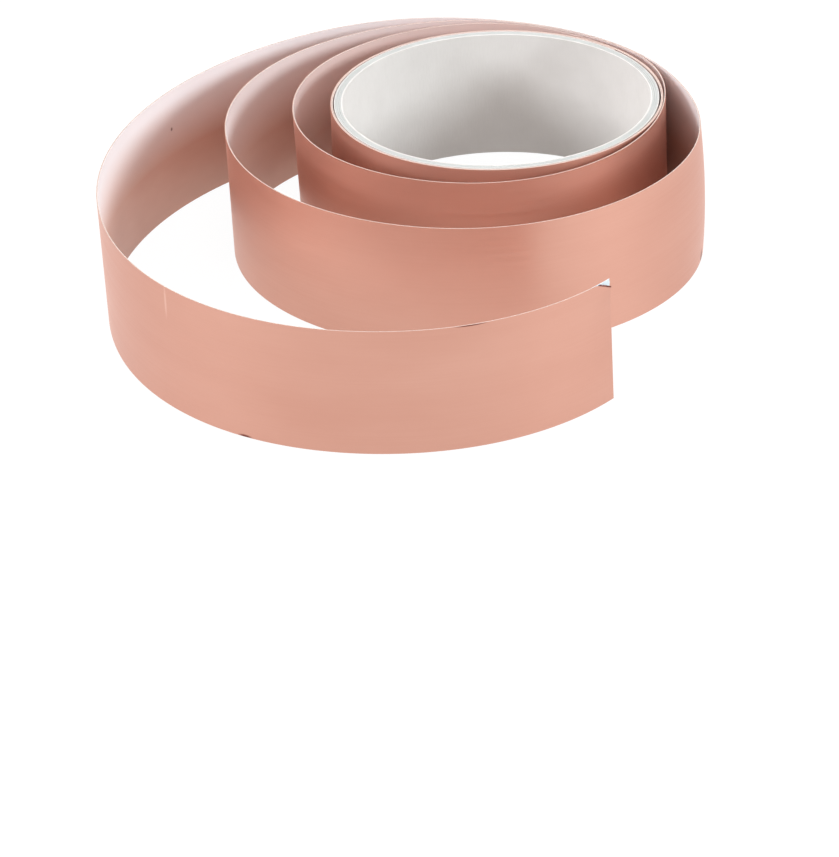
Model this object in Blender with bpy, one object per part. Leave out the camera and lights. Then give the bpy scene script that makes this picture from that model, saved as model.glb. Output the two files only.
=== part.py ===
"""Roll of copper foil tape, standing on its edge with three coils let out loose round its core.

The roll is a cardboard core, the turns of tape still wound tight on it, and the same strip running
on from them as an inner, a middle and an outer coil to its free end, the tail. The tape has three
layers: copper foil on the outside, adhesive, and a film liner on the inside. The strip is divided
where it bends as it is let out, so that each coil can swing, and the last of the liner can peel.

Angles are counted round the core's axis from +X, counter-clockwise seen from above, and they go
on growing along the strip: 400 degrees is the same direction as 40, one turn further out.
The origin is the middle of the footprint, on the surface that the roll stands on. Metres, +Z up.
"""

import math

import bmesh
import bpy
import numpy as np
from mathutils import Vector

MM = 0.001

# The tape: three layers face to face, with LAYER_GAP between them.
TAPE_WIDTH = 32.0 * MM
FOIL_THICKNESS = 0.10 * MM
ADHESIVE_THICKNESS = 0.06 * MM
LINER_THICKNESS = 0.10 * MM
LAYER_GAP = 0.01 * MM

# The core, a spiral-wound paper tube as tall as the tape is wide: its plies from the bore outwards.
CORE_BORE_RADIUS = 37.5 * MM
CORE_PLIES = (
    ("core_inner_ply", 0.40 * MM),
    ("core_board_ply_1", 0.45 * MM),
    ("core_board_ply_2", 0.45 * MM),
    ("core_board_ply_3", 0.45 * MM),
    ("core_outer_ply", 0.22 * MM),
)
PLY_GAP = 0.02 * MM
CORE_FACETS = 60

# The double-sided patch that holds the start of the tape to the core.
TAB_THICKNESS = 0.10 * MM
TAB_HEIGHT = 30.0 * MM
TAB_ANGLE = 30.0

# The turns still wound tight: a spiral up to WOUND_END, growing by WOUND_PITCH each turn.
WOUND_TURNS = 2
WOUND_END = 42.0
WOUND_END_RADIUS = 40.45 * MM
WOUND_PITCH = 0.30 * MM

# Where each part of the loose strip begins, in degrees along it, and where the strip ends.
COIL_STARTS = {"inner_coil": 42.0, "middle_coil": 348.0, "outer_coil": 696.0, "tail": 975.0}
STRIP_END = 1003.8
BUTT_GAP = 0.30 * MM
FLAP_LENGTH = 12.0 * MM
FACET_LENGTH = 4.2 * MM

# The loose strip in plan, in mm: how far the middle of the tape is from the core's axis at its top
# edge, and how much further out the top edge stands there than the bottom edge. Both are the
# control values of a smooth cubic curve, one every 30 degrees from 0, a row to each turn.
CURVE_STEP = 30.0
RADII = (
    40.9, 40.9, 40.9, 45.0, 46.0, 48.5, 49.5, 50.5, 49.0, 47.5, 44.0, 41.0,
    40.5, 43.0, 41.0, 46.0, 50.5, 58.0, 65.0, 71.0, 74.0, 73.0, 64.5, 55.0,
    45.6, 42.3, 42.3, 45.5, 55.0, 65.5, 84.3, 110.9, 136.0, 126.3, 79.5, 23.5,
)  # fmt: skip
LEANS = (
    0.0, 0.0, 0.0, 0.2, 0.6, 1.1, 1.6, 1.4, 0.8, 0.3, 0.0, 0.0,
    0.0, 0.0, 0.1, 0.2, 0.6, 1.1, 1.4, 1.0, 0.4, -0.4, -0.9, -0.2,
    0.0, 0.0, -0.1, 0.0, 0.4, 0.8, 0.9, 2.2, 0.9, 0.5, 1.4, 2.2,
)  # fmt: skip

# Base colour, metallic and roughness of each material.
COPPER = ("copper_foil", (0.78, 0.38, 0.26), 1.0, 0.32)
ADHESIVE = ("adhesive", (0.80, 0.74, 0.66), 0.0, 0.60)
FILM = ("liner_film", (0.86, 0.80, 0.78), 0.0, 0.22)
WHITE_PAPER = ("white_paper", (0.84, 0.83, 0.82), 0.0, 0.75)
GREY_BOARD = ("grey_board", (0.52, 0.55, 0.60), 0.0, 0.90)


def cubic_curve(values, angle):
    """Value at an angle of the uniform cubic B-spline with these control values."""
    along = angle / CURVE_STEP
    index = max(1, min(len(values) - 3, math.floor(along)))
    t = along - index
    weights = (
        (1 - t) ** 3 / 6,
        (3 * t**3 - 6 * t**2 + 4) / 6,
        (-3 * t**3 + 3 * t**2 + 3 * t + 1) / 6,
        t**3 / 6,
    )
    return sum(weight * values[index - 1 + i] for i, weight in enumerate(weights))


def polar(angle, radius):
    return Vector((math.cos(math.radians(angle)), math.sin(math.radians(angle)))) * radius


def wound_radii(angle):
    """Distances from the core's axis to the wound tape's top and bottom edges."""
    radius = WOUND_END_RADIUS - WOUND_PITCH * (WOUND_END - angle) / 360
    return radius, radius


def loose_radii(angle):
    """Distances from the core's axis to the loose tape's top and bottom edges."""
    top = cubic_curve(RADII, angle) * MM
    return top, top - cubic_curve(LEANS, angle) * MM


def normal(radii, angle):
    """Unit vector in plan out of the tape's foil side."""
    along = polar(angle + 0.5, radii(angle + 0.5)[0]) - polar(angle - 0.5, radii(angle - 0.5)[0])
    return Vector((along.y, -along.x)).normalized()


LOOSE_ANGLES = np.arange(COIL_STARTS["inner_coil"], STRIP_END + 0.25, 0.25)
LOOSE_POINTS = np.array([polar(angle, loose_radii(angle)[0]) for angle in LOOSE_ANGLES])
LOOSE_LENGTHS = np.append(0.0, np.linalg.norm(np.diff(LOOSE_POINTS, axis=0), axis=1).cumsum())


def length_to(angle):
    """Length of loose strip up to an angle."""
    return float(np.interp(angle, LOOSE_ANGLES, LOOSE_LENGTHS))


def angle_at(length):
    return float(np.interp(length, LOOSE_LENGTHS, LOOSE_ANGLES))


def stations(first, last):
    """Angles of the facets' ends between two lengths along the loose strip."""
    count = math.ceil((last - first) / FACET_LENGTH)
    return [angle_at(first + (last - first) * i / count) for i in range(count + 1)]


def material(look):
    name, colour, metallic, roughness = look
    found = bpy.data.materials.get(name)
    if found:
        return found
    made = bpy.data.materials.new(name)
    made.use_nodes = True
    shader = made.node_tree.nodes["Principled BSDF"]
    shader.inputs["Base Color"].default_value = (*colour, 1.0)
    shader.inputs["Metallic"].default_value = metallic
    shader.inputs["Roughness"].default_value = roughness
    made.diffuse_color = (*colour, 1.0)
    return made


def add_band(name, look, outer, inner, bottom=0.0, top=TAPE_WIDTH, closed=False, pivot=(0.0, 0.0)):
    """An upright band, whose outer and inner faces each run through pairs of points in plan, the
    top edge's and the bottom edge's. Its origin is on the vertical line over the pivot."""
    shape = bmesh.new()
    rings = []
    for (outer_top, outer_bottom), (inner_top, inner_bottom) in zip(outer, inner):
        corners = ((outer_top, top), (outer_bottom, bottom), (inner_bottom, bottom), (inner_top, top))
        rings.append([shape.verts.new((p.x - pivot[0], p.y - pivot[1], z)) for p, z in corners])
    for a, b in zip(rings, rings[1:] + rings[:1] if closed else rings[1:]):
        # The upright faces are twisted a little, so all the bands split them along one diagonal.
        shape.faces.new((a[0], a[1], b[1]))
        shape.faces.new((a[0], b[1], b[0]))
        shape.faces.new((a[1], a[2], b[2], b[1]))
        shape.faces.new((a[2], a[3], b[2]))
        shape.faces.new((a[3], b[3], b[2]))
        shape.faces.new((a[3], a[0], b[0], b[3]))
    if not closed:
        shape.faces.new(rings[0][::-1])
        shape.faces.new(rings[-1])
    mesh = bpy.data.meshes.new(name)
    shape.to_mesh(mesh)
    shape.free()
    mesh.materials.append(material(look))
    mesh.shade_smooth()
    mesh.set_sharp_from_angle(angle=math.radians(30))
    band = bpy.data.objects.new(name, mesh)
    band.location = (pivot[0], pivot[1], 0.0)
    bpy.context.scene.collection.objects.link(band)
    return band


def arc_pairs(start, end, count, radius):
    """Points on a round upright face, the same at its top and bottom edges."""
    points = [polar(start + (end - start) * i / count, radius) for i in range(count + 1)]
    return [(point, point) for point in points]


def tape_pairs(radii, angles, offset):
    """Points on a face of the tape, offset from its middle towards the foil side."""
    pairs = []
    for angle in angles:
        out = normal(radii, angle) * offset
        pairs.append(tuple(polar(angle, radius) + out for radius in radii(angle)))
    return pairs


def add_layer(name, layer, radii, angles, pivot=(0.0, 0.0)):
    look, outer_offset, inner_offset = LAYERS[layer]
    outer = tape_pairs(radii, angles, outer_offset)
    inner = tape_pairs(radii, angles, inner_offset)
    add_band(name, look, outer, inner, pivot=pivot)


HALF_STACK = (FOIL_THICKNESS + ADHESIVE_THICKNESS + LINER_THICKNESS) / 2 + LAYER_GAP
LAYERS = {
    "foil": (COPPER, HALF_STACK, HALF_STACK - FOIL_THICKNESS),
    "adhesive": (
        ADHESIVE,
        HALF_STACK - FOIL_THICKNESS - LAYER_GAP,
        LINER_THICKNESS + LAYER_GAP - HALF_STACK,
    ),
    "liner": (FILM, LINER_THICKNESS - HALF_STACK, -HALF_STACK),
}


def make_core():
    """The plies of the tube, and the patch on it that holds the tape's inner end."""
    radius = CORE_BORE_RADIUS
    for name, thickness in CORE_PLIES:
        look = GREY_BOARD if "board" in name else WHITE_PAPER
        inner = arc_pairs(0.0, 360.0, CORE_FACETS, radius)[:-1]
        outer = arc_pairs(0.0, 360.0, CORE_FACETS, radius + thickness)[:-1]
        add_band(name, look, outer, inner, closed=True)
        radius += thickness + PLY_GAP
    start = WOUND_END - 360.0 * WOUND_TURNS
    count = round(TAB_ANGLE * CORE_FACETS / 360)
    inner = arc_pairs(start, start + TAB_ANGLE, count, radius)
    outer = arc_pairs(start, start + TAB_ANGLE, count, radius + TAB_THICKNESS)
    bottom = (TAPE_WIDTH - TAB_HEIGHT) / 2
    add_band("start_tab", WHITE_PAPER, outer, inner, bottom=bottom, top=bottom + TAB_HEIGHT)


def make_wound_turns():
    count = CORE_FACETS * WOUND_TURNS
    angles = [WOUND_END - 360.0 * WOUND_TURNS * (1 - i / count) for i in range(count + 1)]
    for layer in LAYERS:
        add_layer(f"wound_{layer}", layer, wound_radii, angles)


def middle_of_tape(angle, offset=0.0):
    """The point in plan half way between the tape's edges, offset towards the foil side."""
    top, bottom = loose_radii(angle)
    return polar(angle, (top + bottom) / 2) + normal(loose_radii, angle) * offset


def make_coils():
    """The three loose coils, each with its origin where it hinges on the one before it."""
    names = list(COIL_STARTS)
    for name, following in zip(names[:-1], names[1:]):
        first = length_to(COIL_STARTS[name]) + BUTT_GAP / 2
        last = length_to(COIL_STARTS[following]) - BUTT_GAP / 2
        # The inner coil turns round the core, and the others swing where the strip bends.
        pivot = (0.0, 0.0) if name == names[0] else middle_of_tape(COIL_STARTS[name])
        for layer in LAYERS:
            add_layer(f"{name}_{layer}", layer, loose_radii, stations(first, last), pivot)


def make_tail():
    """The free end. The last of its liner is a piece of its own, which peels off the adhesive."""
    first = length_to(COIL_STARTS["tail"]) + BUTT_GAP / 2
    fold = length_to(STRIP_END) - FLAP_LENGTH
    before = stations(first, fold - BUTT_GAP / 2)
    after = stations(fold + BUTT_GAP / 2, length_to(STRIP_END))
    pivot = middle_of_tape(COIL_STARTS["tail"])
    add_layer("tail_foil", "foil", loose_radii, before + after, pivot)
    add_layer("tail_adhesive", "adhesive", loose_radii, before + after, pivot)
    add_layer("tail_liner", "liner", loose_radii, before, pivot)
    crease = middle_of_tape(angle_at(fold), LINER_THICKNESS / 2 - HALF_STACK)
    add_layer("liner_flap", "liner", loose_radii, after, crease)


def centre_on_footprint():
    """Moves everything so that the middle of the whole footprint is the origin."""
    bpy.context.view_layer.update()
    pieces = list(bpy.context.scene.collection.objects)
    points = np.array([piece.matrix_world @ v.co for piece in pieces for v in piece.data.vertices])
    middle = (points.min(axis=0) + points.max(axis=0)) / 2
    for piece in pieces:
        piece.location -= Vector((middle[0], middle[1], 0.0))


def main():
    for old in list(bpy.data.objects):
        bpy.data.objects.remove(old)
    make_core()
    make_wound_turns()
    make_coils()
    make_tail()
    centre_on_footprint()


main()
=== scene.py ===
import math

import bmesh
import bpy
import numpy as np
from mathutils import Matrix, Vector


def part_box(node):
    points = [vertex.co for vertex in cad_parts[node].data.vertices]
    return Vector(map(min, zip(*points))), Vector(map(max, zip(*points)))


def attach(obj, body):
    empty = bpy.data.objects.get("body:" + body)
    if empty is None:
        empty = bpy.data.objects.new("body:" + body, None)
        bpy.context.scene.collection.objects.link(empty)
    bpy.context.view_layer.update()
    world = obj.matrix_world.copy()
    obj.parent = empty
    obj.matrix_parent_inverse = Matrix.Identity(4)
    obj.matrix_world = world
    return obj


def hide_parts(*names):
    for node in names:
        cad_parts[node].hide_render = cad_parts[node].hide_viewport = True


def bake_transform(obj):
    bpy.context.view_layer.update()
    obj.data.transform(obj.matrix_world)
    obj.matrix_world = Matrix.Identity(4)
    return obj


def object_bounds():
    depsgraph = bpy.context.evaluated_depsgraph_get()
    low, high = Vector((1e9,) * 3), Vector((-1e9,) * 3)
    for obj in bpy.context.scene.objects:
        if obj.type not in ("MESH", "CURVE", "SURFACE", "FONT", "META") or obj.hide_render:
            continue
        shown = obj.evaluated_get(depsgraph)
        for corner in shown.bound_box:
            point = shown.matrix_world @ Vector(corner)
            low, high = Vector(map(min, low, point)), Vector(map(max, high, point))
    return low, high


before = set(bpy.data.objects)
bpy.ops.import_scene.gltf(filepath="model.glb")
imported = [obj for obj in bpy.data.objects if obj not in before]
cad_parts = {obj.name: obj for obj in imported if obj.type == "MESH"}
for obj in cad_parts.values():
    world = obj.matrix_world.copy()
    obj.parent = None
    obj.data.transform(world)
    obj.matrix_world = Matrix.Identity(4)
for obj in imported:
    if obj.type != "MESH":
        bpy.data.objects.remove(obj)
cad_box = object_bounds()

# The looks of a roll of copper foil tape. The strip's three layers are rebuilt as fine sheets that
# ride on the imported bodies, with stretches left unparented where two bodies meet, and the core's
# plies as fine tubes.

MM = 0.001

# The core's axis and the tape's width come from the frame.
core_low, core_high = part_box("core_inner_ply")
AXIS = Vector(((core_low.x + core_high.x) / 2, (core_low.y + core_high.y) / 2, 0.0))
TAPE_WIDTH = core_high.z - core_low.z

# The strip, with the same driving sizes as the part: the layers as offsets from the middle of the
# tape, the angles in degrees where its stretches start and end, and its distance in mm from the
# core's axis and its lean every 30 degrees, as smooth curves. Past the wound turns it takes
# LEAVING_ANGLE degrees to leave their spiral for the loose curve.
LAYERS = {
    "foil": (0.14 * MM, 0.04 * MM),
    "adhesive": (0.03 * MM, -0.03 * MM),
    "liner": (-0.04 * MM, -0.14 * MM),
}
WOUND_START, WOUND_END = -678.0, 42.0
WOUND_END_RADIUS, WOUND_PITCH = 40.45 * MM, 0.30 * MM
LEAVING_ANGLE = 34.0
MIDDLE_START, OUTER_START, TAIL_START, STRIP_END = 348.0, 696.0, 975.0, 1003.8
FLAP_LENGTH = 12.0 * MM
CURVE_STEP = 30.0
RADII = (
    40.9, 40.9, 40.9, 45.0, 46.0, 48.5, 49.5, 50.5, 49.0, 47.5, 44.0, 41.0,
    40.5, 43.0, 41.0, 46.0, 50.5, 58.0, 65.0, 71.0, 74.0, 73.0, 64.5, 55.0,
    45.6, 42.3, 42.3, 45.5, 55.0, 65.5, 84.3, 110.9, 136.0, 126.3, 79.5, 23.5,
)  # fmt: skip
LEANS = (
    0.0, 0.0, 0.0, 0.2, 0.6, 1.1, 1.6, 1.4, 0.8, 0.3, 0.0, 0.0,
    0.0, 0.0, 0.1, 0.2, 0.6, 1.1, 1.4, 1.0, 0.4, -0.4, -0.9, -0.2,
    0.0, 0.0, -0.1, 0.0, 0.4, 0.8, 0.9, 2.2, 0.9, 0.5, 1.4, 2.2,
)  # fmt: skip

# How finely the path, the strip, its free end, the liner's flap, the fold and the core are built.
PATH_STEP, TANGENT_REACH = 0.25, 0.4
TAPE_STEP, TAPE_ROWS = 0.7 * MM, 8
END_STEP, END_ROWS = 0.35 * MM, 32
FLAP_STEP, FLAP_ROWS = 0.2 * MM, 64
FOLD_COLUMNS, FOLD_ROWS = 24, 3
TUBE_COLUMNS, TUBE_EASE = 256, 0.06 * MM

# How far the stretch left between two bodies reaches before and after a joint. The first such
# stretch starts where the wound turns end and reaches to an angle, and the peeled liner's starts at
# its crease.
BENDS = {
    "middle_coil": (3 * MM, 18 * MM),
    "outer_coil": (12 * MM, 12 * MM),
    "tail": (16 * MM, 16 * MM),
}
START_BEND_END = 76.0
PEEL_BEND = 5.0 * MM

# The free end: its top corner is folded back behind the foil, lifted a little, and the liner is
# left bare there and in a sliver beside the foil's cut end.
CORNER_ALONG, CORNER_DOWN, CORNER_LIFT = 5.6 * MM, 2.6 * MM, 0.7 * MM
LIFT_ALONG, LIFT_DOWN = 1.4 * CORNER_ALONG, 3 * CORNER_DOWN
FINE_END = 1.5 * CORNER_ALONG
SLIVER, SLIVER_DOWN = 0.45 * MM, 9.0 * MM
END_SLANT = 0.9 * MM
FOLD_WIDTH, FOLD_DEPTH, FOLD_GAP = 0.40 * MM, 0.10 * MM, 0.02 * MM

# The middle coil's right side bows out a little half way up.
BOW, BOW_ANGLE, BOW_REACH = 0.8 * MM, 694.0, 30.0

# The painted highlight on the film, a pale margin standing in for light falling on the upper part
# of the inner faces, starts and is full at these heights. It is stronger on coils that lie further
# apart, where more light gets in, between two angles along the strip.
PAINTED_LIGHT_COLOUR = (0.86, 0.81, 0.81)
PAINTED_LIGHT_LOW, PAINTED_LIGHT_HIGH = 15 * MM, 29 * MM
PAINTED_LIGHT_FIRST_ANGLE, PAINTED_LIGHT_LAST_ANGLE, PAINTED_LIGHT_AT_FIRST = 120, 880, 0.45

# The floor's size in metres, and how brightly it and the world glow.
FLOOR_SIZE, FLOOR_GLOW, WORLD_GLOW = 8.0, 0.95, 0.36


# ---------------------------------------------------------------- the strip's path


def cubic_curve(values, angle):
    along = angle / CURVE_STEP
    index = max(1, min(len(values) - 3, math.floor(along)))
    t = along - index
    weights = (
        (1 - t) ** 3 / 6,
        (3 * t**3 - 6 * t**2 + 4) / 6,
        (-3 * t**3 + 3 * t**2 + 3 * t + 1) / 6,
        t**3 / 6,
    )
    return sum(weight * values[index - 1 + i] for i, weight in enumerate(weights))


def smooth(t):
    t = max(0.0, min(1.0, t))
    return t * t * (3 - 2 * t)


def wound_radius(angle):
    return WOUND_END_RADIUS - WOUND_PITCH * (WOUND_END - angle) / 360


def top_radius(angle):
    """Distance from the core's axis to the tape's top edge, anywhere along the strip."""
    if angle <= WOUND_END:
        return wound_radius(angle)
    loose = cubic_curve(RADII, angle) * MM
    joined = smooth((angle - WOUND_END) / LEAVING_ANGLE)
    return wound_radius(angle) * (1 - joined) + loose * joined


def lean(angle):
    """How much further out the tape's top edge stands than its bottom edge."""
    return cubic_curve(LEANS, angle) * MM if angle > WOUND_END else 0.0


def direction(angle):
    return Vector((math.cos(math.radians(angle)), math.sin(math.radians(angle)), 0.0))


ANGLES = np.arange(WOUND_START, STRIP_END + 5 * PATH_STEP, PATH_STEP)
TRACK = np.array([direction(a) * top_radius(a) for a in ANGLES])
LENGTHS = np.append(0.0, np.linalg.norm(np.diff(TRACK, axis=0), axis=1).cumsum())


def length_to(angle):
    return float(np.interp(angle, ANGLES, LENGTHS))


def angle_at(length):
    return float(np.interp(length, LENGTHS, ANGLES))


END = length_to(STRIP_END)


def tape_point(length, height, offset):
    """A point of the tape: how far along the strip, how high, and how far out of its middle."""
    angle = angle_at(length)
    ahead, behind = angle + TANGENT_REACH, angle - TANGENT_REACH
    step = direction(ahead) * top_radius(ahead) - direction(behind) * top_radius(behind)
    along = step.normalized()
    outward = Vector((along.y, -along.x, 0.0))
    up = height / TAPE_WIDTH
    bow = BOW * smooth(1 - abs(angle - BOW_ANGLE) / BOW_REACH) * 4 * up * (1 - up)
    radius = top_radius(angle) - lean(angle) * (1 - up) + bow
    return AXIS + direction(angle) * radius + outward * offset + Vector((0, 0, height))


# ---------------------------------------------------------------- materials

# Small marks, some of handling and some painted shade and painted highlights: colour, angle along
# the strip, height, half length and half height in mm.
# The first colour is dark, tarnish on the nick and painted shade in the gap at the middle coil's
# lower edge; the second is a painted highlight.
TARNISH_AND_SHADE, PAINTED_HIGHLIGHT = (0.16, 0.040, 0.030), (0.76, 0.46, 0.37)
COPPER_MARKS = (
    (TARNISH_AND_SHADE, 690.5, 1.2, 1.3, 2.2),  # painted shade in a dark gap at the middle coil's lower edge
    (TARNISH_AND_SHADE, 961.5, 0.2, 2.2, 0.5),  # a nick in the tail end's lower edge
    (TARNISH_AND_SHADE, 986.0, 31.9, 4.5, 0.3),  # and a thin dark line along its upper edge
    (PAINTED_HIGHLIGHT, 951.0, 28.0, 0.5, 5.0),  # a painted highlight along a faint upright crease
    (PAINTED_HIGHLIGHT, 556.0, 12.0, 2.5, 0.5),  # a painted highlight along a wrinkle on the middle coil
)
FILM_MARKS = (((0.20, 0.10, 0.08), 893.0, 22.0, 0.5, 0.6),)  # a speck on the film


def new_material(name):
    made = bpy.data.materials.new(name)
    made.use_nodes = True
    nodes, links = made.node_tree.nodes, made.node_tree.links
    return made, nodes, links, nodes["Principled BSDF"]


def noise(nodes, links, coordinates, scale, detail=3.0, roughness=0.5):
    """Noise over coordinates in metres, stretched by scale, which is features per metre."""
    mapping = nodes.new("ShaderNodeMapping")
    mapping.inputs["Scale"].default_value = scale
    texture = nodes.new("ShaderNodeTexNoise")
    texture.inputs["Scale"].default_value = 1.0
    texture.inputs["Detail"].default_value = detail
    texture.inputs["Roughness"].default_value = roughness
    links.new(coordinates, mapping.inputs["Vector"])
    links.new(mapping.outputs["Vector"], texture.inputs["Vector"])
    return texture.outputs["Fac"]


def between(nodes, links, factor, low, high, start=0.3, stop=0.7):
    """A value that goes from low to high while factor goes from start to stop."""
    node = nodes.new("ShaderNodeMapRange")
    node.inputs["From Min"].default_value = start
    node.inputs["From Max"].default_value = stop
    node.inputs["To Min"].default_value = low
    node.inputs["To Max"].default_value = high
    links.new(factor, node.inputs["Value"])
    return node.outputs["Result"]


def blend_colours(nodes, links, factor, first, second):
    """A colour that goes from first to second while factor goes from 0.3 to 0.7, as noise does."""
    ramp = nodes.new("ShaderNodeValToRGB")
    ramp.color_ramp.elements[0].position = 0.3
    ramp.color_ramp.elements[0].color = (*first, 1.0)
    ramp.color_ramp.elements[1].position = 0.7
    ramp.color_ramp.elements[1].color = (*second, 1.0)
    links.new(factor, ramp.inputs["Fac"])
    return ramp.outputs["Color"]


def mix_in(nodes, links, factor, colour, tint):
    """A colour that turns into a fixed tint where factor is 1."""
    mix = nodes.new("ShaderNodeMix")
    mix.data_type = "RGBA"
    links.new(factor, mix.inputs["Factor"])
    links.new(colour, mix.inputs["A"])
    mix.inputs["B"].default_value = (*tint, 1.0)
    return mix.outputs["Result"]


def bump(nodes, links, shader, height, distance):
    """Relief up to this distance deep."""
    node = nodes.new("ShaderNodeBump")
    node.inputs["Distance"].default_value = distance
    links.new(height, node.inputs["Height"])
    links.new(node.outputs["Normal"], shader.inputs["Normal"])


def add_mark(nodes, links, strip, colour, tint, angle, height, half_along, half_up):
    """Mixes a small mark into a colour, at an angle and a height in mm on the strip."""
    shift = nodes.new("ShaderNodeVectorMath")
    shift.operation = "SUBTRACT"
    shift.inputs[1].default_value = (length_to(angle), height * MM, 0.0)
    scale = nodes.new("ShaderNodeVectorMath")
    scale.operation = "MULTIPLY"
    scale.inputs[1].default_value = (1 / (half_along * MM), 1 / (half_up * MM), 0.0)
    reach = nodes.new("ShaderNodeVectorMath")
    reach.operation = "LENGTH"
    links.new(strip, shift.inputs[0])
    links.new(shift.outputs["Vector"], scale.inputs[0])
    links.new(scale.outputs["Vector"], reach.inputs[0])
    factor = between(nodes, links, reach.outputs["Value"], 0.9, 0.0, 0.4, 1.0)
    return mix_in(nodes, links, factor, colour, tint)


def copper_material():
    """Bare rolled copper: satin, with fine rolling lines along it and a faint cloudiness."""
    made, nodes, links, shader = new_material("copper_foil")
    strip = nodes.new("ShaderNodeUVMap").outputs["UV"]
    cloud = noise(nodes, links, strip, (22.0, 60.0, 1.0), 4.0)
    lines = noise(nodes, links, strip, (18.0, 2600.0, 1.0), 2.0)
    colour = blend_colours(nodes, links, cloud, (0.680, 0.366, 0.284), (0.645, 0.332, 0.254))
    for mark in COPPER_MARKS:
        colour = add_mark(nodes, links, strip, colour, *mark)
    links.new(colour, shader.inputs["Base Color"])
    shader.inputs["Metallic"].default_value = 1.0
    links.new(between(nodes, links, lines, 0.40, 0.48), shader.inputs["Roughness"])
    bump(nodes, links, shader, lines, 0.004 * MM)
    return made


def cut_material(name, light, dark, metallic):
    """The slit edge of a layer, rougher and darker than its faces."""
    made, nodes, links, shader = new_material(name)
    strip = nodes.new("ShaderNodeUVMap").outputs["UV"]
    grain = noise(nodes, links, strip, (900.0, 900.0, 1.0), 2.0)
    links.new(blend_colours(nodes, links, grain, light, dark), shader.inputs["Base Color"])
    shader.inputs["Metallic"].default_value = metallic
    links.new(between(nodes, links, grain, 0.55, 0.70), shader.inputs["Roughness"])
    return made


def film_material():
    """Release film over the adhesive and the copper: copper showing through a milky film, with a
    painted highlight, a pale margin along the film's upper edge that stands in for light falling
    from above."""
    made, nodes, links, shader = new_material("liner_film")
    strip = nodes.new("ShaderNodeUVMap").outputs["UV"]
    cloud = noise(nodes, links, strip, (30.0, 80.0, 1.0), 4.0)
    ripple = noise(nodes, links, strip, (60.0, 240.0, 1.0), 2.0)
    colour = blend_colours(nodes, links, cloud, (0.600, 0.340, 0.262), (0.555, 0.300, 0.228))
    parts = nodes.new("ShaderNodeSeparateXYZ")
    links.new(strip, parts.inputs["Vector"])
    # Painted highlight: paler towards the film's upper edge, standing in for light from above, and
    # stronger where the coils lie further apart.
    painted_light_by_height = between(nodes, links, parts.outputs["Y"], 0.0, 1.0, PAINTED_LIGHT_LOW, PAINTED_LIGHT_HIGH)
    first, last = length_to(PAINTED_LIGHT_FIRST_ANGLE), length_to(PAINTED_LIGHT_LAST_ANGLE)
    painted_light_by_gap = between(nodes, links, parts.outputs["X"], PAINTED_LIGHT_AT_FIRST, 1.0, first, last)
    painted_light_mask = nodes.new("ShaderNodeMath")
    painted_light_mask.operation = "MULTIPLY"
    links.new(painted_light_by_height, painted_light_mask.inputs[0])
    links.new(painted_light_by_gap, painted_light_mask.inputs[1])
    colour = mix_in(nodes, links, painted_light_mask.outputs["Value"], colour, PAINTED_LIGHT_COLOUR)
    for mark in FILM_MARKS:
        colour = add_mark(nodes, links, strip, colour, *mark)
    links.new(colour, shader.inputs["Base Color"])
    shader.inputs["Metallic"].default_value = 0.35
    links.new(between(nodes, links, cloud, 0.40, 0.48), shader.inputs["Roughness"])
    bump(nodes, links, shader, ripple, 0.02 * MM)
    return made


def fold_painted_shade_material():
    """Copper where the foil's corner is folded, dark with painted shade standing in for the shadow
    under the fold.
    """
    made, nodes, links, shader = new_material("copper_fold_painted_shade")
    place = nodes.new("ShaderNodeTexCoord").outputs["Object"]
    cloud = noise(nodes, links, place, (900.0, 900.0, 900.0), 2.0)
    # Painted shade: dark red-brown to near black, for the shadow under the folded corner.
    colour = blend_colours(nodes, links, cloud, (0.30, 0.080, 0.050), (0.12, 0.035, 0.028))
    links.new(colour, shader.inputs["Base Color"])
    shader.inputs["Metallic"].default_value = 0.6
    links.new(between(nodes, links, cloud, 0.5, 0.7), shader.inputs["Roughness"])
    return made


def bare_film_material():
    """The film where no copper lies behind it: milky and faintly blue."""
    made, nodes, links, shader = new_material("liner_film_bare")
    strip = nodes.new("ShaderNodeUVMap").outputs["UV"]
    cloud = noise(nodes, links, strip, (400.0, 400.0, 1.0), 3.0)
    colour = blend_colours(nodes, links, cloud, (0.64, 0.68, 0.70), (0.58, 0.62, 0.65))
    links.new(colour, shader.inputs["Base Color"])
    links.new(between(nodes, links, cloud, 0.25, 0.35), shader.inputs["Roughness"])
    return made


def adhesive_material():
    """The glue, whose face shows where the liner is peeled off."""
    made, nodes, links, shader = new_material("adhesive")
    strip = nodes.new("ShaderNodeUVMap").outputs["UV"]
    cloud = noise(nodes, links, strip, (300.0, 300.0, 1.0), 3.0)
    colour = blend_colours(nodes, links, cloud, (0.82, 0.74, 0.66), (0.72, 0.62, 0.53))
    links.new(colour, shader.inputs["Base Color"])
    links.new(between(nodes, links, cloud, 0.45, 0.65), shader.inputs["Roughness"])
    return made


def paper_material(name, light, dark):
    """Smooth paper: a little mottled, with fibres too small to see one by one."""
    made, nodes, links, shader = new_material(name)
    place = nodes.new("ShaderNodeTexCoord").outputs["Object"]
    mottle = noise(nodes, links, place, (150.0, 150.0, 150.0), 5.0, 0.6)
    fibre = noise(nodes, links, place, (2200.0, 2200.0, 500.0), 3.0)
    links.new(blend_colours(nodes, links, mottle, light, dark), shader.inputs["Base Color"])
    links.new(between(nodes, links, fibre, 0.62, 0.82), shader.inputs["Roughness"])
    bump(nodes, links, shader, fibre, 0.03 * MM)
    return made


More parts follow.
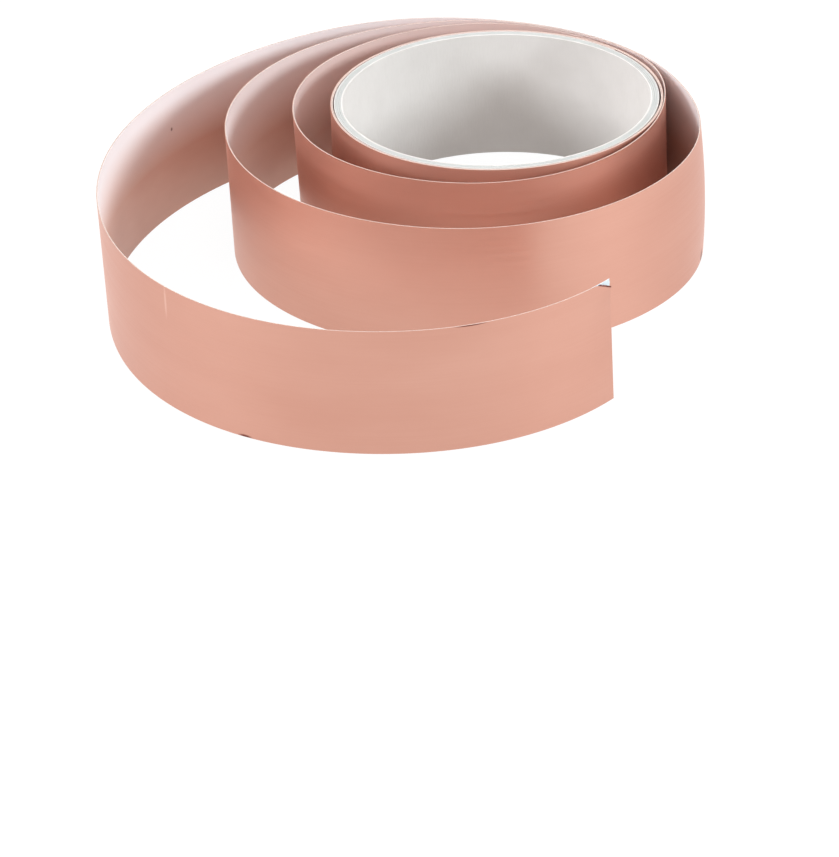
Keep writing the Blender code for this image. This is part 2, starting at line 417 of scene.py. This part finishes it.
def floor_material():
    """A light table: white all over, with no shadow on it."""
    made, nodes, links, shader = new_material("floor")
    place = nodes.new("ShaderNodeTexCoord").outputs["Object"]
    mottle = noise(nodes, links, place, (3.0, 3.0, 3.0), 2.0)
    colour = blend_colours(nodes, links, mottle, (0.060, 0.060, 0.060), (0.055, 0.055, 0.055))
    links.new(colour, shader.inputs["Base Color"])
    shader.inputs["Roughness"].default_value = 0.9
    shader.inputs["Specular IOR Level"].default_value = 0.0
    shader.inputs["Emission Color"].default_value = (1.0, 1.0, 1.0, 1.0)
    shader.inputs["Emission Strength"].default_value = FLOOR_GLOW
    return made


# Each cut edge has the name of its layer or paper with _cut behind it.
PAPERS = {
    "white_paper": ((0.575, 0.530, 0.502), (0.545, 0.500, 0.472)),
    "white_paper_cut": ((0.540, 0.500, 0.475), (0.490, 0.452, 0.428)),
    "grey_board": ((0.385, 0.380, 0.362), (0.345, 0.340, 0.324)),
}
MATERIALS = {
    "foil": copper_material(),
    "liner": film_material(),
    "liner_bare": bare_film_material(),
    "fold": fold_painted_shade_material(),
    "adhesive": adhesive_material(),
    "foil_cut": cut_material("copper_foil_cut", (0.52, 0.32, 0.26), (0.44, 0.26, 0.20), 0.8),
    "adhesive_cut": cut_material("adhesive_cut", (0.50, 0.40, 0.34), (0.44, 0.34, 0.29), 0.0),
    "liner_cut": cut_material("liner_film_cut", (0.52, 0.42, 0.37), (0.46, 0.36, 0.32), 0.0),
    **{name: paper_material(name, *colours) for name, colours in PAPERS.items()},
}


# ---------------------------------------------------------------- building meshes


def finish_mesh(shape, name, materials, sharp=35.0):
    bmesh.ops.recalc_face_normals(shape, faces=shape.faces)
    mesh = bpy.data.meshes.new(name)
    shape.to_mesh(mesh)
    shape.free()
    for entry in materials:
        mesh.materials.append(entry)
    mesh.shade_smooth()
    mesh.set_sharp_from_angle(angle=math.radians(sharp))
    made = bpy.data.objects.new(name, mesh)
    bpy.context.scene.collection.objects.link(made)
    return made


def add_slab(name, place, columns, rows, materials, material_of=None):
    """A thin closed sheet. place(u, v, side) gives each point, its length along the strip and its
    height, on side 0 and side 1. material_of(u, v, side) gives a face's material, the first if left
    out, and the top and bottom edges have the last."""
    shape = bmesh.new()
    uv = shape.loops.layers.uv.new("UVMap")
    where = {}
    sides = []
    for side in (0, 1):
        grid = []
        for i in range(columns + 1):
            line = []
            for j in range(rows + 1):
                point, along, height = place(i / columns, j / rows, side)
                vert = shape.verts.new(point)
                where[vert] = (along, height)
                line.append(vert)
            grid.append(line)
        sides.append(grid)

    def face(*verts):
        made = shape.faces.new(verts)
        for loop in made.loops:
            loop[uv].uv = where[loop.vert]
        return made

    for i in range(columns):
        for j in range(rows):
            for side, grid in enumerate(sides):
                made = face(grid[i][j], grid[i + 1][j], grid[i + 1][j + 1], grid[i][j + 1])
                if material_of:
                    middle = (i + 0.5) / columns, (j + 0.5) / rows
                    made.material_index = material_of(*middle, side)
        for j in (0, rows):
            made = face(sides[0][i][j], sides[0][i + 1][j], sides[1][i + 1][j], sides[1][i][j])
            made.material_index = len(materials) - 1
    for i in (0, columns):
        for j in range(rows):
            face(sides[0][i][j], sides[0][i][j + 1], sides[1][i][j + 1], sides[1][i][j])
    return finish_mesh(shape, name, materials)


def add_tape(name, layer, first, last):
    """A stretch of one layer of the tape, between two lengths along the strip."""
    offsets = LAYERS[layer]
    columns = round((last - first) / TAPE_STEP)

    def place(u, v, side):
        length = first + (last - first) * u
        return tape_point(length, TAPE_WIDTH * v, offsets[side]), length, TAPE_WIDTH * v

    made = add_slab(name, place, columns, TAPE_ROWS, [MATERIALS[layer], MATERIALS[f"{layer}_cut"]])
    return made


def foil_top(length):
    """Height of the foil's top edge, which falls along the fold at the free end's corner."""
    return TAPE_WIDTH - CORNER_DOWN * max(0.0, min(1.0, 1 - (END - length) / CORNER_ALONG))


def liner_end(height):
    """Length at which the liner ends: the cut across the tape isn't quite square."""
    return END - END_SLANT * height / TAPE_WIDTH


def foil_end(height):
    """Length at which the foil ends, a sliver short of the liner near the top."""
    return liner_end(height) - SLIVER * smooth(1 - (TAPE_WIDTH - height) / SLIVER_DOWN)


def corner_offset(length, height):
    """How far the foil's folded corner stands out from the liner."""
    near_end = smooth(1 - (END - length) / LIFT_ALONG)
    near_top = smooth(1 - (TAPE_WIDTH - height) / LIFT_DOWN)
    return CORNER_LIFT * near_end * near_top


def add_end(name, layer, first):
    """The last of the foil or of the adhesive, with its corner folded back."""
    offsets = LAYERS[layer]
    columns = round((END - first) / END_STEP)

    def place(u, v, side):
        length = first + (foil_end(TAPE_WIDTH * v) - first) * u
        height = foil_top(length) * v
        offset = offsets[side] + corner_offset(length, height)
        return tape_point(length, height, offset), length, height

    made = add_slab(name, place, columns, END_ROWS, [MATERIALS[layer], MATERIALS[f"{layer}_cut"]])
    return made


def add_fold(name):
    """The bent edge of the foil's corner, where it is folded back: dull, and dark with painted
    shade.
    """
    first = END - CORNER_ALONG
    last = foil_end(foil_top(END))

    def place(u, v, side):
        length = first + (last - first) * u
        width = FOLD_WIDTH * smooth(4 * u)
        height = foil_top(length) + FOLD_GAP + width * v
        offset = LAYERS["foil"][0] + corner_offset(length, foil_top(length))
        return tape_point(length, height, offset - FOLD_GAP - FOLD_DEPTH * side), length, height

    made = add_slab(name, place, FOLD_COLUMNS, FOLD_ROWS, [MATERIALS["fold"]])
    return made


def add_flap(name, first):
    """The liner over the last of the tape, bare where neither foil nor adhesive lies on it."""
    offsets = LAYERS["liner"]
    columns = round((END - first) / FLAP_STEP)

    def place(u, v, side):
        length = first + (liner_end(TAPE_WIDTH * v) - first) * u
        return tape_point(length, TAPE_WIDTH * v, offsets[side]), length, TAPE_WIDTH * v

    def look(u, v, side):
        height = TAPE_WIDTH * v
        length = first + (liner_end(height) - first) * u
        return int(side == 0 or height > foil_top(length) or length > foil_end(height))

    both = [MATERIALS["liner"], MATERIALS["liner_bare"]]
    made = add_slab(name, place, columns, FLAP_ROWS, both, material_of=look)
    return made


# ---------------------------------------------------------------- the tape


def stretch(body, first, last):
    """The three layers of a stretch that rides on one body, in place of that body's CAD layers."""
    for layer in LAYERS:
        made = add_tape(f"{body}_{layer}_strip", layer, first, last)
        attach(made, body)
        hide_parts(f"{body}_{layer}")


def bend(name, first, last):
    """The three layers of a stretch where two bodies meet, left unparented in place."""
    for layer in LAYERS:
        made = add_tape(f"{name}_{layer}_bend", layer, first, last)
        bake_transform(made)


def make_tape():
    wound_end = length_to(WOUND_END)
    start_bend_end = length_to(START_BEND_END)
    middle, outer, tail = (length_to(a) for a in (MIDDLE_START, OUTER_START, TAIL_START))
    for layer in LAYERS:
        made = add_tape(f"wound_{layer}_turns", layer, 0.0, wound_end)
        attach(made, "core")
        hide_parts(f"wound_{layer}")
    bend("coil_start", wound_end, start_bend_end)
    reach = BENDS["middle_coil"]
    stretch("inner_coil", start_bend_end, middle - reach[0])
    bend("middle_start", middle - reach[0], middle + reach[1])
    stretch("middle_coil", middle + reach[1], outer - BENDS["outer_coil"][0])
    reach = BENDS["outer_coil"]
    bend("outer_start", outer - reach[0], outer + reach[1])
    stretch("outer_coil", outer + reach[1], tail - BENDS["tail"][0])
    reach = BENDS["tail"]
    bend("tail_start", tail - reach[0], tail + reach[1])
    make_tail(tail + reach[1])


def make_tail(first):
    """The free end, whose liner peels from a crease."""
    crease = END - FLAP_LENGTH
    end_first = END - FINE_END
    for layer in ("foil", "adhesive"):
        made = add_tape(f"tail_{layer}_strip", layer, first, end_first)
        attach(made, "tail")
        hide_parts(f"tail_{layer}")
        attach(add_end(f"tail_{layer}_end", layer, end_first), "tail")
    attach(add_fold("tail_foil_fold"), "tail")
    held = add_tape("tail_liner_strip", "liner", first, crease)
    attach(held, "tail")
    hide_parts("tail_liner")
    peel = add_tape("tail_liner_bend", "liner", crease, crease + PEEL_BEND)
    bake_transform(peel)
    flap = add_flap("liner_flap_strip", crease + PEEL_BEND)
    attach(flap, "liner_flap")
    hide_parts("liner_flap")


# ---------------------------------------------------------------- the core


def add_tube(name, inner, outer, bottom, top, slot_name):
    """A ply of the core, with the edges of its cut ends eased a little."""
    ease = min(TUBE_EASE, (outer - inner) / 3)
    profile = [
        (outer, bottom + ease),
        (outer, top - ease),
        (outer - ease, top),
        (inner + ease, top),
        (inner, top - ease),
        (inner, bottom + ease),
        (inner + ease, bottom),
        (outer - ease, bottom),
    ]
    shape = bmesh.new()
    rings = []
    for i in range(TUBE_COLUMNS):
        way = direction(360.0 * i / TUBE_COLUMNS)
        rings.append([shape.verts.new(AXIS + way * r + Vector((0, 0, z))) for r, z in profile])
    for i in range(TUBE_COLUMNS):
        a, b = rings[i], rings[(i + 1) % TUBE_COLUMNS]
        for j in range(len(profile)):
            k = (j + 1) % len(profile)
            face = shape.faces.new((a[j], b[j], b[k], a[k]))
            # The outer wall is face 0 and the inner wall face 4. The rest are cut.
            face.material_index = int(j not in (0, 4))
    cut = MATERIALS.get(f"{slot_name}_cut", MATERIALS[slot_name])
    made = finish_mesh(shape, f"{name}_tube", [MATERIALS[slot_name], cut], sharp=30.0)
    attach(made, "core")
    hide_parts(name)


def make_core():
    """The core's plies, with sizes from the frame. The start tab is the frame's own."""
    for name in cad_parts:
        if not name.startswith("core_"):
            continue
        low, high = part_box(name)
        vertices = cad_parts[name].data.vertices
        radii = [math.hypot(v.co.x - AXIS.x, v.co.y - AXIS.y) for v in vertices]
        slot_name = "grey_board" if "board" in name else "white_paper"
        add_tube(name, min(radii), max(radii), low.z, high.z, slot_name)
    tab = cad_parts["start_tab"]
    tab.data.materials.clear()
    tab.data.materials.append(MATERIALS["white_paper"])


# ---------------------------------------------------------------- floor, light and camera


def make_stage():
    """The glowing floor, which diffuse surfaces don't see, and a plain white world."""
    bpy.ops.mesh.primitive_plane_add(size=FLOOR_SIZE, location=(0, 0, cad_box[0].z))
    floor = bpy.context.object
    floor.name = "floor"
    floor.data.materials.append(floor_material())
    floor.visible_diffuse = False
    world = bpy.data.worlds.new("studio")
    bpy.context.scene.world = world
    world.use_nodes = True
    background = world.node_tree.nodes["Background"]
    background.inputs["Color"].default_value = (1.0, 1.0, 1.0, 1.0)
    background.inputs["Strength"].default_value = WORLD_GLOW


def add_softbox(name, place, size, radiance, colour=(1.0, 1.0, 1.0)):
    """A panel of this size in metres, which faces the roll and has this radiance."""
    data = bpy.data.lights.new(name, "AREA")
    data.shape = "RECTANGLE"
    data.size, data.size_y = size
    data.energy = radiance * math.pi * size[0] * size[1]
    data.color = colour
    made = bpy.data.objects.new(name, data)
    bpy.context.scene.collection.objects.link(made)
    made.location = place
    made.rotation_euler = (AXIS - Vector(place)).to_track_quat("-Z", "Y").to_euler()


def make_lights():
    add_softbox("overhead", (0.1, 0.1, 1.5), (1.0, 1.0), 2.6)
    add_softbox("front_above", (0.1, -1.2, 1.3), (1.0, 1.0), 2.3)
    add_softbox("behind_left", (-1.2, 0.9, 1.2), (1.0, 1.0), 6.5)
    add_softbox("behind_right", (1.2, 0.9, 1.2), (1.0, 1.0), 4.8)
    add_softbox("backdrop", (0.0, 1.6, 0.9), (3.0, 1.8), 1.2, (0.85, 0.92, 1.0))
    add_softbox("side", (1.04, -0.50, 0.42), (0.30, 0.36), 41.0, (0.84, 0.95, 1.0))
    add_softbox("left", (-1.2, -0.45, 0.50), (0.36, 0.36), 39.0, (0.88, 0.95, 1.0))
    add_softbox("front", (-0.3, -1.7, 0.56), (1.6, 0.30), 1.2)


# A long lens, far back, 27 degrees above the horizon and rolled a little. The camera stands this
# far back from a target on the core's axis, and this far to the left of it and below it.
LENS, SENSOR = 378.1, 36.0
PITCH, ROLL = math.radians(26.966), math.radians(1.766)
DISTANCE, LEFT, BELOW = 2195.213 * MM, 19.188 * MM, 64.990 * MM
TARGET = AXIS + Vector((0, 0, 15 * MM))


def make_camera():
    forward = Vector((0, math.cos(PITCH), -math.sin(PITCH)))
    level_up = Vector((0, math.sin(PITCH), math.cos(PITCH)))
    right = math.cos(ROLL) * Vector((1, 0, 0)) - math.sin(ROLL) * level_up
    up = math.sin(ROLL) * Vector((1, 0, 0)) + math.cos(ROLL) * level_up
    data = bpy.data.cameras.new("camera")
    data.lens, data.sensor_width, data.sensor_fit = LENS, SENSOR, "AUTO"
    data.clip_start, data.clip_end = 0.1, 20.0
    camera = bpy.data.objects.new("camera", data)
    bpy.context.scene.collection.objects.link(camera)
    place = TARGET - LEFT * right - BELOW * up - DISTANCE * forward
    turn = Matrix((right, up, -forward)).transposed().to_4x4()
    camera.matrix_world = Matrix.Translation(place) @ turn
    bpy.context.scene.camera = camera


for leftover in [o for o in bpy.data.objects if o.type in ("LIGHT", "CAMERA")]:
    bpy.data.objects.remove(leftover)
bpy.context.scene.view_settings.view_transform = "Standard"
make_core()
make_tape()
make_stage()
make_lights()
make_camera()
